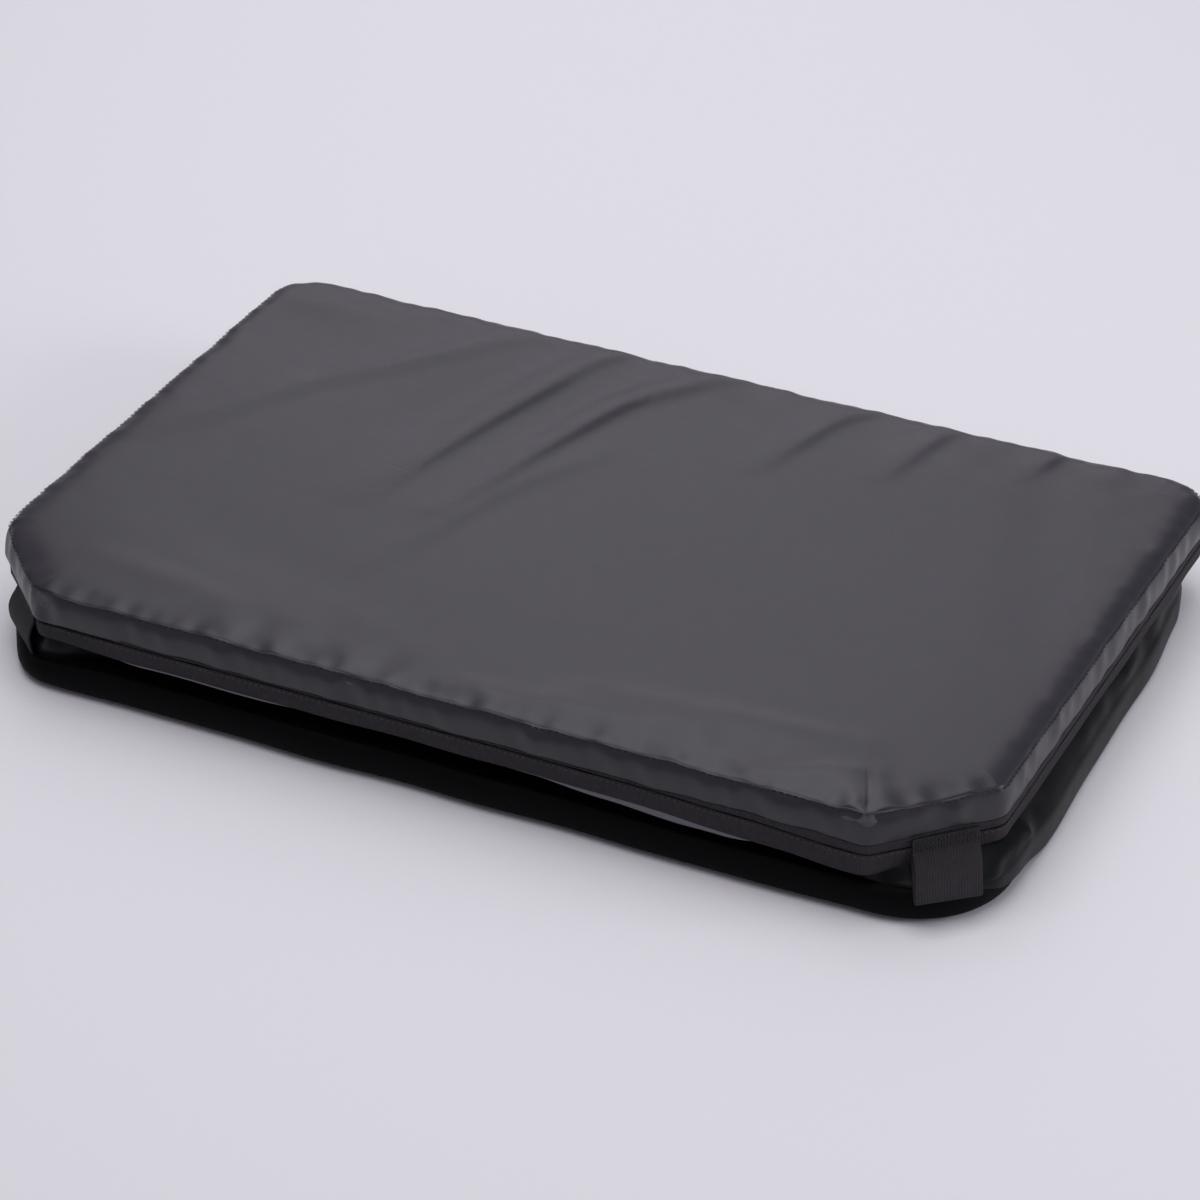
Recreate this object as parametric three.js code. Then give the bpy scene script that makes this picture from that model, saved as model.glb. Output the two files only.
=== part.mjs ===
// Collapsible soft gear box with a padded zip-round lid, folded flat.
// Millimetres, +Z up. +X runs along the long side, -Y is the front with the two clipped corners,
// and the origin is the middle of the underside. The lid hinges along the back edge.

import * as THREE from 'three';

// ---------- driving dimensions ----------

const LID_HALF_LENGTH = 300;      // to the top seam
const LID_HALF_DEPTH = 193.5;     // to the top seam
const CHAMFER_LEG = 53;           // how far each front corner is clipped along both sides
const CHAMFER_CORNER_RADIUS = 9;
const BACK_CORNER_RADIUS = 26;

const BASE_HALF_LENGTH = 306;
const BASE_HALF_DEPTH = 198;
const BASE_CORNER_RADIUS = 60;

const BASE_TOP = 19;              // top edge of the base tray
const RIM_BOTTOM = 31.2;          // underside of the rim when the walls are folded
const ZIP_LINE = 39.5;            // where the two zip tapes meet
const BAND_TOP = 43;              // top of the upper zip tape
const SEAM_HEIGHT = 61;           // seam between gusset and top panel
const CROWN_HEIGHT = 66;          // middle of the padded lid

const GAP = 0.3;                  // clearance between neighbouring pieces
const FABRIC = 1;                 // coated cloth, with its lining
const TAPE = 0.8;                 // zip tape
const ZIP_SPLIT = 0.6;            // half the slot that the slider's web runs in
const BAND_OUT = 2.5;             // zip band stands out past the top seam by this much
const COIL_HEIGHT = 1.8;
const COIL_DEPTH = 1.6;

const WALL_OUTER_INSET = 11;      // outer folds of the tucked-in walls
const WALL_INNER_INSET = 38;      // inner folds
const CORNER_OUTER_INSET = -2;    // at the corners the folds are pulled out towards the base
const WALL_LAYERS = 8;
const WALL_CLOTH = 0.6;

const WEBBING_WIDTH = 38;
const WEBBING_THICKNESS = 1.8;

const HINGE_STRIP_HALF = 258;     // half the length of the fabric hinge

const ARC_STEP = Math.PI / 16;     // turn between two points of a rounded corner

// ---------- materials ----------

function material(color, roughness, metalness = 0) {
  return new THREE.MeshStandardMaterial({ color, roughness, metalness });
}

const COATED_CLOTH = () => material(0x3c3b41, 0.42);
const WALL_FABRIC = () => material(0x111114, 0.5);
const BASE_FABRIC = () => material(0x0c0c0e, 0.55);
const LINING = () => material(0x2a2b30, 0.8);
const WEBBING = () => material(0x242326, 0.85);
const ZIP_TAPE = () => material(0x29282b, 0.85);
const COIL = () => material(0x141416, 0.4);
const FOAM = () => material(0x55565a, 0.95);
const BOARD = () => material(0x1c1c1e, 0.6);
const METAL = () => material(0x2e2e32, 0.35, 0.9);

// ---------- outlines ----------
// An outline is a convex polygon, anticlockwise from above, whose corners are { x, y, radius }.
// Every inset copy of it has the same number of points, so rings at different insets join up.

const LID_CORNERS = [
  { x: -LID_HALF_LENGTH + CHAMFER_LEG, y: -LID_HALF_DEPTH, radius: CHAMFER_CORNER_RADIUS },
  { x: LID_HALF_LENGTH - CHAMFER_LEG, y: -LID_HALF_DEPTH, radius: CHAMFER_CORNER_RADIUS },
  { x: LID_HALF_LENGTH, y: -LID_HALF_DEPTH + CHAMFER_LEG, radius: CHAMFER_CORNER_RADIUS },
  { x: LID_HALF_LENGTH, y: LID_HALF_DEPTH, radius: BACK_CORNER_RADIUS },
  { x: -LID_HALF_LENGTH, y: LID_HALF_DEPTH, radius: BACK_CORNER_RADIUS },
  { x: -LID_HALF_LENGTH, y: -LID_HALF_DEPTH + CHAMFER_LEG, radius: CHAMFER_CORNER_RADIUS },
];

const BASE_CORNERS = [
  { x: -BASE_HALF_LENGTH, y: -BASE_HALF_DEPTH, radius: BASE_CORNER_RADIUS },
  { x: BASE_HALF_LENGTH, y: -BASE_HALF_DEPTH, radius: BASE_CORNER_RADIUS },
  { x: BASE_HALF_LENGTH, y: BASE_HALF_DEPTH, radius: BASE_CORNER_RADIUS },
  { x: -BASE_HALF_LENGTH, y: BASE_HALF_DEPTH, radius: BASE_CORNER_RADIUS },
];

// Edge k of an outline runs from corner k to corner k + 1. In the lid's outline they are
// front, front right chamfer, right, back, left, front left chamfer.
const FRONT = 0;
const RIGHT = 2;
const BACK = 3;
const LEFT = 4;

function insetEdge(corners, index, inset) {
  const from = corners[index];
  const to = corners[(index + 1) % corners.length];
  const along = new THREE.Vector2(to.x - from.x, to.y - from.y).normalize();
  const inward = new THREE.Vector2(-along.y, along.x);
  const point = new THREE.Vector2(from.x, from.y).addScaledVector(inward, inset);
  return { point, along, inward };
}

function crossing(edgeA, edgeB) {
  const between = edgeB.point.clone().sub(edgeA.point);
  const travel = between.cross(edgeB.along) / edgeA.along.cross(edgeB.along);
  return edgeA.point.clone().addScaledVector(edgeA.along, travel);
}

// The rounded corner between edge index - 1 and edge index.
function cornerArc(corners, index, inset) {
  const before = insetEdge(corners, (index + corners.length - 1) % corners.length, inset);
  const after = insetEdge(corners, index, inset);
  const tip = crossing(before, after);
  const radius = Math.max(corners[index].radius - inset, 1.5);
  const turn = Math.acos(THREE.MathUtils.clamp(before.along.dot(after.along), -1, 1));
  const setback = radius * Math.tan(turn / 2);
  const centre = tip.clone().addScaledVector(before.along, -setback).addScaledVector(before.inward, radius);
  const startAngle = Math.atan2(-before.inward.y, -before.inward.x);
  const steps = Math.ceil(turn / ARC_STEP - 0.01);
  const points = [];
  for (let step = 0; step <= steps; step += 1) {
    const angle = startAngle + (turn * step) / steps;
    points.push(new THREE.Vector2(centre.x + radius * Math.cos(angle), centre.y + radius * Math.sin(angle)));
  }
  return points;
}

function outline(corners, inset) {
  return corners.flatMap((_, index) => cornerArc(corners, index, inset));
}

// A point on one straight edge, at a given x on the front and back or a given y on the sides.
function pointOnEdge(corners, edgeIndex, inset, place) {
  const edge = insetEdge(corners, edgeIndex, inset);
  return Math.abs(edge.along.x) > 0.5
    ? new THREE.Vector2(place, edge.point.y)
    : new THREE.Vector2(edge.point.x, place);
}

// An open run of the lid's outline, from a place on one edge round its corners to another place.
function lidRun(startEdge, startPlace, turns, endEdge, endPlace) {
  return (inset) => [
    pointOnEdge(LID_CORNERS, startEdge, inset, startPlace),
    ...turns.flatMap((index) => cornerArc(LID_CORNERS, index, inset)),
    pointOnEdge(LID_CORNERS, endEdge, inset, endPlace),
  ];
}

// ---------- solids ----------

function solid(points, triangles) {
  const geometry = new THREE.BufferGeometry().setFromPoints(points);
  let volume = 0;
  for (const [a, b, c] of triangles) {
    volume += points[a].dot(points[b].clone().cross(points[c]));
  }
  const outward = volume > 0 ? triangles : triangles.map(([a, b, c]) => [a, c, b]);
  geometry.setIndex(outward.flat());
  geometry.computeVertexNormals();
  return geometry;
}

// Sweeps a closed section of [inset, z] points along a path. pathAt(inset) gives the path's points.
function sweep(section, pathAt, closed) {
  const columns = section.map(([inset, z]) => pathAt(inset).map((p) => new THREE.Vector3(p.x, p.y, z)));
  const stations = columns[0].length;
  const size = section.length;
  const points = [];
  for (let station = 0; station < stations; station += 1) {
    for (const column of columns) {
      points.push(column[station]);
    }
  }
  const triangles = [];
  const spans = closed ? stations : stations - 1;
  for (let station = 0; station < spans; station += 1) {
    const next = (station + 1) % stations;
    for (let k = 0; k < size; k += 1) {
      const a = station * size + k;
      const b = station * size + ((k + 1) % size);
      const c = next * size + ((k + 1) % size);
      const d = next * size + k;
      triangles.push([a, b, c], [a, c, d]);
    }
  }
  if (!closed) {
    const flat = section.map(([inset, z]) => new THREE.Vector2(inset, z));
    const turns = Math.sign(THREE.ShapeUtils.area(flat));
    const last = (stations - 1) * size;
    for (const [a, p, q] of THREE.ShapeUtils.triangulateShape(flat, [])) {
      const sameTurn = Math.sign(THREE.ShapeUtils.area([flat[a], flat[p], flat[q]])) === turns;
      const [b, c] = sameTurn ? [p, q] : [q, p];
      triangles.push([a, c, b], [last + a, last + b, last + c]);
    }
  }
  return solid(points, triangles);
}

// Stacks whole outlines, [inset, z] from the bottom up, and closes both ends with a cap
// whose middle is at the given height.
function stack(corners, levels, bottomCentreZ, topCentreZ) {
  const ringAt = (inset, z) => outline(corners, inset).map((p) => new THREE.Vector3(p.x, p.y, z));
  const rings = levels.map(([inset, z]) => ringAt(inset, z));
  const count = rings[0].length;
  const points = rings.flat();
  const triangles = [];
  for (let level = 0; level < rings.length - 1; level += 1) {
    for (let k = 0; k < count; k += 1) {
      const a = level * count + k;
      const b = level * count + ((k + 1) % count);
      triangles.push([a, b, b + count], [a, b + count, a + count]);
    }
  }
  const bottom = points.push(new THREE.Vector3(0, 0, bottomCentreZ)) - 1;
  const top = points.push(new THREE.Vector3(0, 0, topCentreZ)) - 1;
  const lastRing = (rings.length - 1) * count;
  for (let k = 0; k < count; k += 1) {
    const next = (k + 1) % count;
    triangles.push([bottom, next, k], [top, lastRing + k, lastRing + next]);
  }
  return solid(points, triangles);
}

// Thickens a centre line of THREE.Vector2 into the outline of a band, with mitred bends.
function ribbon(centreLine, thickness) {
  const normals = centreLine.slice(1).map((point, index) => {
    const along = point.clone().sub(centreLine[index]).normalize();
    return new THREE.Vector2(-along.y, along.x);
  });
  const offsets = centreLine.map((_, index) => {
    const before = normals[Math.max(index - 1, 0)];
    const after = normals[Math.min(index, normals.length - 1)];
    const mitre = before.clone().add(after).divideScalar(1 + before.dot(after));
    return mitre.multiplyScalar(thickness / 2);
  });
  const left = centreLine.map((point, index) => point.clone().add(offsets[index]));
  const right = centreLine.map((point, index) => point.clone().sub(offsets[index]));
  return [...left, ...right.reverse()];
}

function rectangle(insetFrom, insetTo, zFrom, zTo) {
  return [[insetFrom, zFrom], [insetTo, zFrom], [insetTo, zTo], [insetFrom, zTo]];
}

const lidOutline = (inset) => outline(LID_CORNERS, inset);
const baseOutline = (inset) => outline(BASE_CORNERS, inset);

// The zip runs from one end of the back's hinge strip round the whole lid to the other end.
const ZIP_END = HINGE_STRIP_HALF + GAP;
const zipRun = lidRun(BACK, -ZIP_END, [4, 5, 0, 1, 2, 3], BACK, ZIP_END);
const hingeRun = lidRun(BACK, HINGE_STRIP_HALF, [], BACK, -HINGE_STRIP_HALF);

const model = new THREE.Group();

function add(name, geometry, makeMaterial) {
  const mesh = new THREE.Mesh(geometry, makeMaterial());
  mesh.name = name;
  model.add(mesh);
  return mesh;
}

// ---------- base ----------

const BASE_WALL = 1.6;
const BASE_FLOOR = 1.6;
const BASE_FOAM_THICKNESS = 8;
const BASE_BOARD_THICKNESS = 2.5;

function addBase() {
  // the tray's outer face climbs from the floor, and its inner face comes back down to it
  const outer = [[9, 0], [3, 1.5], [0.8, 5], [0, 10], [0.8, 15], [4.5, BASE_TOP]];
  const inner = [
    [4.5 + BASE_WALL, BASE_TOP - 0.6], [0.8 + BASE_WALL, 14.6], [BASE_WALL, 10],
    [0.8 + BASE_WALL, 5.6], [3.6 + BASE_WALL, BASE_FLOOR],
  ];
  add('base_shell', stack(BASE_CORNERS, [...outer, ...inner], 0, BASE_FLOOR), BASE_FABRIC);

  let z = BASE_FLOOR + GAP;
  add('base_foam', stack(BASE_CORNERS, [[6, z], [3, z + 3.8], [3, z + BASE_FOAM_THICKNESS]], z,
    z + BASE_FOAM_THICKNESS), FOAM);
  z += BASE_FOAM_THICKNESS + GAP;
  add('base_board', stack(BASE_CORNERS, [[4, z], [4, z + BASE_BOARD_THICKNESS]], z,
    z + BASE_BOARD_THICKNESS), BOARD);
  z += BASE_BOARD_THICKNESS + GAP;
  add('base_lining', stack(BASE_CORNERS, [[4, z], [4, z + FABRIC]], z, z + FABRIC), LINING);
  z += FABRIC + GAP;
  add('base_binding', sweep(rectangle(7.5, 10.5, z, BASE_TOP - 1), baseOutline, true), WEBBING);
}

// ---------- folded walls ----------
// Each wall panel is tucked in as flat layers that turn back at the outer and inner folds.

function foldedSection(outerInset) {
  const lowest = BASE_TOP + GAP + WALL_CLOTH / 2;
  const highest = RIM_BOTTOM - GAP - WALL_CLOTH / 2;
  const pitch = (highest - lowest) / (WALL_LAYERS - 1);
  const centreLine = [];
  for (let layer = 0; layer < WALL_LAYERS; layer += 1) {
    const ends = [outerInset, WALL_INNER_INSET];
    const [from, to] = layer % 2 === 0 ? ends : ends.reverse();
    const z = lowest + layer * pitch;
    centreLine.push(new THREE.Vector2(from, z), new THREE.Vector2(to, z));
  }
  return ribbon(centreLine, WALL_CLOTH).map((point) => [point.x, point.y]);
}

const WALL_JOIN = 6;              // how far each corner panel reaches along the straight sides

function addWalls() {
  const straight = foldedSection(WALL_OUTER_INSET);
  const cornered = foldedSection(CORNER_OUTER_INSET);
  const frontEnd = LID_HALF_LENGTH - CHAMFER_LEG - WALL_INNER_INSET - WALL_JOIN;
  const sideFront = -LID_HALF_DEPTH + CHAMFER_LEG + WALL_INNER_INSET + WALL_JOIN;
  const sideBack = LID_HALF_DEPTH - WALL_INNER_INSET - WALL_JOIN;
  const backEnd = LID_HALF_LENGTH - WALL_INNER_INSET - WALL_JOIN;
  const panels = [
    ['wall_front', straight, lidRun(FRONT, -frontEnd, [], FRONT, frontEnd)],
    ['wall_corner_front_right', cornered, lidRun(FRONT, frontEnd + GAP, [1, 2], RIGHT, sideFront - GAP)],
    ['wall_right', straight, lidRun(RIGHT, sideFront, [], RIGHT, sideBack)],
    ['wall_corner_back_right', cornered, lidRun(RIGHT, sideBack + GAP, [3], BACK, backEnd + GAP)],
    ['wall_back', straight, lidRun(BACK, backEnd, [], BACK, -backEnd)],
    ['wall_corner_back_left', cornered, lidRun(BACK, -backEnd - GAP, [4], LEFT, sideBack + GAP)],
    ['wall_left', straight, lidRun(LEFT, sideBack, [], LEFT, sideFront)],
    ['wall_corner_front_left', cornered, lidRun(LEFT, sideFront - GAP, [5, 0], FRONT, -frontEnd - GAP)],
  ];
  for (const [name, section, run] of panels) {
    add(name, sweep(section, run, false), WALL_FABRIC);
  }
}

// ---------- rim and zip ----------

const TAPE_OUT = -BAND_OUT;                 // outer face of both zip tapes, as an inset
const TAPE_IN = TAPE_OUT + TAPE;
const COIL_OUT = TAPE_IN + GAP;
const COIL_IN = COIL_OUT + COIL_DEPTH;
const HEM_TOP = RIM_BOTTOM + 1.5;

function addRim() {
  const tapeTop = ZIP_LINE - ZIP_SPLIT;
  add('rim_hem', sweep(rectangle(COIL_OUT, 7, RIM_BOTTOM, HEM_TOP), lidOutline, true), WALL_FABRIC);
  add('rim_wire', sweep([[4.5, 33.2], [6.5, 33.2], [7.2, 34.7], [6.5, 36.2], [4.5, 36.2], [3.8, 34.7]],
    lidOutline, true), METAL);
  add('rim_facing', sweep(rectangle(8, 8 + FABRIC, RIM_BOTTOM, 40), lidOutline, true), LINING);
  add('zip_tape_lower', sweep(rectangle(TAPE_OUT, TAPE_IN, RIM_BOTTOM, tapeTop), zipRun, false), ZIP_TAPE);
  add('zip_coil_lower', sweep(rectangle(COIL_OUT, COIL_IN, tapeTop - COIL_HEIGHT, tapeTop), zipRun, false),
    COIL);
  add('hinge_strip_lower', sweep(rectangle(TAPE_OUT, TAPE_IN, RIM_BOTTOM, ZIP_LINE + GAP), hingeRun, false),
    WALL_FABRIC);
}

// Small cloth tabs cover the two ends of the zip, on the rim's side of it.
function addZipEndTabs() {
  const tabLength = 13;
  const section = rectangle(TAPE_OUT - GAP - FABRIC, TAPE_OUT - GAP, RIM_BOTTOM + 0.4,
    ZIP_LINE - ZIP_SPLIT - 0.4);
  const runs = {
    zip_end_tab_left: lidRun(BACK, -ZIP_END, [], BACK, -ZIP_END - tabLength),
    zip_end_tab_right: lidRun(BACK, ZIP_END + tabLength, [], BACK, ZIP_END),
  };
  for (const [name, run] of Object.entries(runs)) {
    add(name, sweep(section, run, false), WEBBING);
  }
}

// ---------- slider ----------

const SLIDER_Y = 138;             // parked near the back end of the zip, on the left side
const SLIDER_LENGTH = 14;
const PULL_LENGTH = 26;
const PULL_THICKNESS = 1;

function addSlider() {
  const faceIn = TAPE_OUT - GAP;
  const faceOut = faceIn - 1.4;
  const railOut = faceOut - 1.5;
  const backOut = COIL_IN + GAP;
  const backIn = backOut + 1.2;
  const web = ZIP_SPLIT - GAP;
  const reach = 4.8;
  const railReach = 3.4;
  // one half of the section, from the middle of the face round to the middle of the back plate
  const upperHalf = [
    [faceOut, railReach], [railOut, railReach], [railOut, reach], [faceIn, reach], [faceIn, web],
    [backOut, web], [backOut, railReach], [backIn, railReach],
  ];
  const lowerHalf = upperHalf.map(([inset, z]) => [inset, -z]).reverse();
  const section = [...upperHalf, ...lowerHalf].map(([inset, z]) => [inset, ZIP_LINE + z]);
  const run = lidRun(LEFT, SLIDER_Y + SLIDER_LENGTH / 2, [], LEFT, SLIDER_Y - SLIDER_LENGTH / 2);
  add('zip_slider', sweep(section, run, false), METAL);

  // the pull lies flat between the rails, pointing to the front, and turns about a vertical pin
  const halfWidth = railReach - GAP;
  const rootReach = 0.5;
  const tip = PULL_LENGTH - halfWidth;
  const tab = new THREE.Shape();
  tab.moveTo(-rootReach, -halfWidth);
  tab.lineTo(tip, -halfWidth);
  tab.absarc(tip, 0, halfWidth, -Math.PI / 2, Math.PI / 2, false);
  tab.lineTo(-rootReach, halfWidth);
  tab.closePath();
  const hole = new THREE.Path();
  hole.absarc(tip, 0, 1.5, 0, Math.PI * 2, true);
  tab.holes.push(hole);
  const extrusion = { depth: PULL_THICKNESS, bevelEnabled: false, curveSegments: 6 };
  const pull = new THREE.ExtrudeGeometry(tab, extrusion);
  pull.translate(0, 0, -PULL_THICKNESS / 2);
  pull.rotateZ(-Math.PI / 2);
  pull.rotateY(-Math.PI / 2);
  const pinOut = faceOut - GAP - Math.hypot(rootReach, PULL_THICKNESS / 2);
  add('zip_pull', pull, METAL).position.set(-LID_HALF_LENGTH + pinOut, SLIDER_Y, ZIP_LINE);
}

// ---------- lid ----------

const LINING_Z = BAND_TOP + GAP;
const LID_BOARD_THICKNESS = 3;

function addLid() {
  const tapeBottom = ZIP_LINE + ZIP_SPLIT;
  add('zip_tape_upper', sweep(rectangle(TAPE_OUT, TAPE_IN, tapeBottom, BAND_TOP), zipRun, false), ZIP_TAPE);
  add('zip_coil_upper', sweep(rectangle(COIL_OUT, COIL_IN, tapeBottom, tapeBottom + COIL_HEIGHT), zipRun,
    false), COIL);
  add('hinge_strip_upper', sweep(rectangle(TAPE_OUT, TAPE_IN, ZIP_LINE + 3 * GAP, BAND_TOP), hingeRun, false),
    WALL_FABRIC);

  // the boxing strip bulges a little between its two seams
  const gussetBottom = BAND_TOP + GAP;
  const gussetTop = SEAM_HEIGHT - GAP;
  add('lid_gusset', sweep([
    [-2.2, gussetBottom], [-3, 48], [-3, 54], [-1.8, 58.5], [-0.2, gussetTop],
    [0.8, gussetTop], [-0.8, 58.1], [-2, 54], [-2, 48], [-1.2, gussetBottom],
  ], lidOutline, true), COATED_CLOTH);

  // top panel, crowned over the padding; its underside follows at the cloth's thickness
  const panelEdge = SEAM_HEIGHT;
  const crown = CROWN_HEIGHT - panelEdge;
  const rings = [[0, 0], [5, 0.35], [18, 0.68], [60, 0.9]];
  const upper = rings.map(([inset, rise]) => [inset, panelEdge + FABRIC + rise * (crown - FABRIC)]);
  add('lid_top', stack(LID_CORNERS, [
    ...[...rings].reverse().map(([inset, rise]) => [inset, panelEdge + rise * (crown - FABRIC)]),
    ...upper,
  ], CROWN_HEIGHT - FABRIC, CROWN_HEIGHT), COATED_CLOTH);

  add('lid_lining', stack(LID_CORNERS, [[0.5, LINING_Z], [0.5, LINING_Z + FABRIC]], LINING_Z,
    LINING_Z + FABRIC), LINING);
  const boardZ = LINING_Z + FABRIC + GAP;
  add('lid_board', stack(LID_CORNERS, [[3, boardZ], [3, boardZ + LID_BOARD_THICKNESS]], boardZ,
    boardZ + LID_BOARD_THICKNESS), BOARD);
  const foamZ = boardZ + LID_BOARD_THICKNESS + GAP;
  const foamTop = panelEdge - GAP;
  add('lid_foam', stack(LID_CORNERS, [
    [1.6, foamZ], [-0.6, foamZ + 4], [-0.4, 56], [1.4, foamTop - 1], [3, foamTop],
    [18, foamTop + 0.66 * (crown - FABRIC)], [60, foamTop + 0.88 * (crown - FABRIC)],
  ], foamZ, foamTop + crown - FABRIC), FOAM);
  add('lid_binding', sweep(rectangle(COIL_IN + 2, COIL_IN + 5, BAND_TOP - 1.5, BAND_TOP), lidOutline, true),
    WEBBING);
}

// ---------- webbing loops ----------

const CHAMFER_OUT = (LID_HALF_LENGTH + LID_HALF_DEPTH - CHAMFER_LEG) / Math.SQRT2;
const BAND_FACE = CHAMFER_OUT + BAND_OUT + GAP;   // webbing lies on the band from here outwards
const LOOP_TOP = 36.4;                            // the loop swings below this line of stitching

// The loop hangs as a flattened teardrop that leans out over the corner of the base.
// x is the distance out from the middle of the box along the chamfer's normal, y is the height.
function loopCentreLine() {
  const offsets = [
    [2.6, 35.6], [9, 34.2], [15.2, 28.6], [18.4, 21.6], [17.2, 18.6], [14.4, 19.6],
    [8.8, 24.2], [3.6, 29.2], [1.3, 33.4],
  ];
  const curve = new THREE.SplineCurve(offsets.map(([out, z]) => new THREE.Vector2(BAND_FACE + out, z)));
  return curve.getSpacedPoints(24);
}

function addLoops() {
  const root = rectangle(BAND_FACE, BAND_FACE + WEBBING_THICKNESS, LOOP_TOP + GAP, BAND_TOP);
  const shapes = {
    loop: new THREE.Shape(ribbon(loopCentreLine(), WEBBING_THICKNESS)),
    loop_root: new THREE.Shape(root.map(([x, y]) => new THREE.Vector2(x, y))),
  };
  const up = new THREE.Vector3(0, 0, 1);
  for (const [side, sign] of [['right', 1], ['left', -1]]) {
    // local x points out along the chamfer's normal, local y up, local z along the chamfer
    const normal = new THREE.Vector3(sign, -1, 0).normalize();
    const along = normal.clone().cross(up);
    const chamferMiddle = new THREE.Vector3(
      sign * (LID_HALF_LENGTH - CHAMFER_LEG / 2), -LID_HALF_DEPTH + CHAMFER_LEG / 2, 0);
    const start = chamferMiddle.dot(along) - WEBBING_WIDTH / 2;
    const holder = new THREE.Group();
    holder.quaternion.setFromRotationMatrix(new THREE.Matrix4().makeBasis(normal, up, along));
    holder.position.copy(along).multiplyScalar(start);
    for (const [name, shape] of Object.entries(shapes)) {
      const geometry = new THREE.ExtrudeGeometry(shape, { depth: WEBBING_WIDTH, bevelEnabled: false });
      const mesh = new THREE.Mesh(geometry, WEBBING());
      mesh.name = `${name}_${side}`;
      holder.add(mesh);
    }
    model.add(holder);
  }
}

addBase();
addWalls();
addRim();
addZipEndTabs();
addSlider();
addLid();
addLoops();

export default model;
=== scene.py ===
import math

import bmesh
import bpy
import numpy as np
from mathutils import Matrix, Vector


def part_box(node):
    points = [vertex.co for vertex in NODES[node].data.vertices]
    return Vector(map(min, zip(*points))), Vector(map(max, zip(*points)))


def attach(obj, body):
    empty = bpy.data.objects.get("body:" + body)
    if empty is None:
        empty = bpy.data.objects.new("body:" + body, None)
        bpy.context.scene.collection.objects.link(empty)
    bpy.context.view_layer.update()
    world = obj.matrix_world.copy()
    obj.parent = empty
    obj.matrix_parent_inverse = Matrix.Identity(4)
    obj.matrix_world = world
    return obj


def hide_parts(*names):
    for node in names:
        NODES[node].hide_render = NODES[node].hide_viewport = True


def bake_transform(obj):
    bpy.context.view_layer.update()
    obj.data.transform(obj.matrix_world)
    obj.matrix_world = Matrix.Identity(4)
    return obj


# Collapsible gear box folded flat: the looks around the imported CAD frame.
# Shapes are worked out in millimetres in the CAD frame, +X along the long side, -Y the front,
# and become metres when a mesh is made.

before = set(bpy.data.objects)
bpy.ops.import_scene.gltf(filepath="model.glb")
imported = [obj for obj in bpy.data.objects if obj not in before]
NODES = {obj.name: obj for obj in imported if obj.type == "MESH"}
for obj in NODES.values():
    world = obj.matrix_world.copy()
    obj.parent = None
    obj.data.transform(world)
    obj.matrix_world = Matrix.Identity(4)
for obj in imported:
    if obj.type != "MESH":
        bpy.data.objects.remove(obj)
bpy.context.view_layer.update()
MM = 0.001


def node_box(name):
    low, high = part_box(name)
    return low / MM, high / MM


def node_heights(name):
    low, high = node_box(name)
    return low.z, high.z


# ---------- driving sizes, from the frame ----------

LID_X = node_box("lid_top")[1].x
LID_Y = node_box("lid_top")[1].y
SEAM_Z = node_heights("lid_top")[0]
GUSSET_BOTTOM = node_heights("lid_gusset")[0]
BASE_X = node_box("base_shell")[1].x
BASE_Y = node_box("base_shell")[1].y
BASE_TOP = node_heights("base_shell")[1]
RIM_BOTTOM = node_heights("zip_tape_lower")[0]
ZIP_LINE = (node_heights("zip_tape_lower")[1] + node_heights("zip_tape_upper")[0]) / 2
CHAMFER_LEG = 53
CHAMFER_RADIUS = 9
BACK_RADIUS = 26
BASE_RADIUS = 60
BAND_OUT = node_box("zip_tape_lower")[1].x - LID_X
HINGE_HALF = node_box("hinge_strip_lower")[1].x
SPINE_HALF = 110        # half the line in the middle of a panel, where its rows end
PANEL_INSET = 60        # where a panel's rows stop following the outline


# ---------- outlines ----------

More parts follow.
